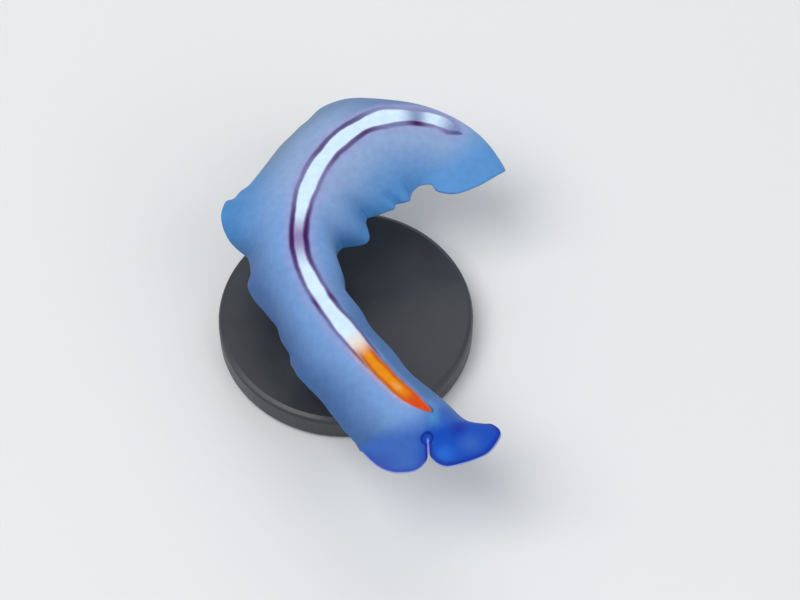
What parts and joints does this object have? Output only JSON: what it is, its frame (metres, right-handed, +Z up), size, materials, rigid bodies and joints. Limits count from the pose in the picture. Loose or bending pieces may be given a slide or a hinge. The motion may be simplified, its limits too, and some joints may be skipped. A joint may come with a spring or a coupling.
{
  "type": "racing stripe flatworm",
  "caption": "Life-size pale blue marine flatworm with a striped back and folded pseudotentacles, swimming in a crescent on a round display stand.",
  "frame": {"origin": "centre of the underside of the stand's base", "axes": "+Z up; +Y away from the viewer of the picture, from the head's end towards the bend of the tail; +X to the viewer's right, the animal's left along most of the body"},
  "size_m": [0.0272, 0.0432, 0.0134],
  "materials": {
    "mantle_skin": "soft wet skin, pale lavender blue beside the stripe and clearer blue at the margins",
    "head_skin": "soft wet skin, royal blue",
    "stripe_skin": "soft wet skin, bluish white with plum borders, orange towards the head",
    "stand_paint": "fine satin paint",
    "rod_steel": "drawn wire, lightly brushed"
  },
  "bodies": {
    "root": {"pseudotentacle_right": "head_skin", "pseudotentacle_left": "head_skin", "head": "mantle_skin", "mantle_right_front": "mantle_skin", "stripe_front": "stripe_skin", "mantle_left_front": "mantle_skin", "mantle_right_middle": "mantle_skin", "stripe_middle": "stripe_skin", "mantle_left_middle": "mantle_skin", "mantle_right_rear": "mantle_skin", "stripe_rear": "stripe_skin", "mantle_left_rear": "mantle_skin", "tail": "mantle_skin", "stand_base": "stand_paint", "stand_rod_front": "rod_steel", "stand_rod_rear": "rod_steel"}
  },
  "joints": []
}
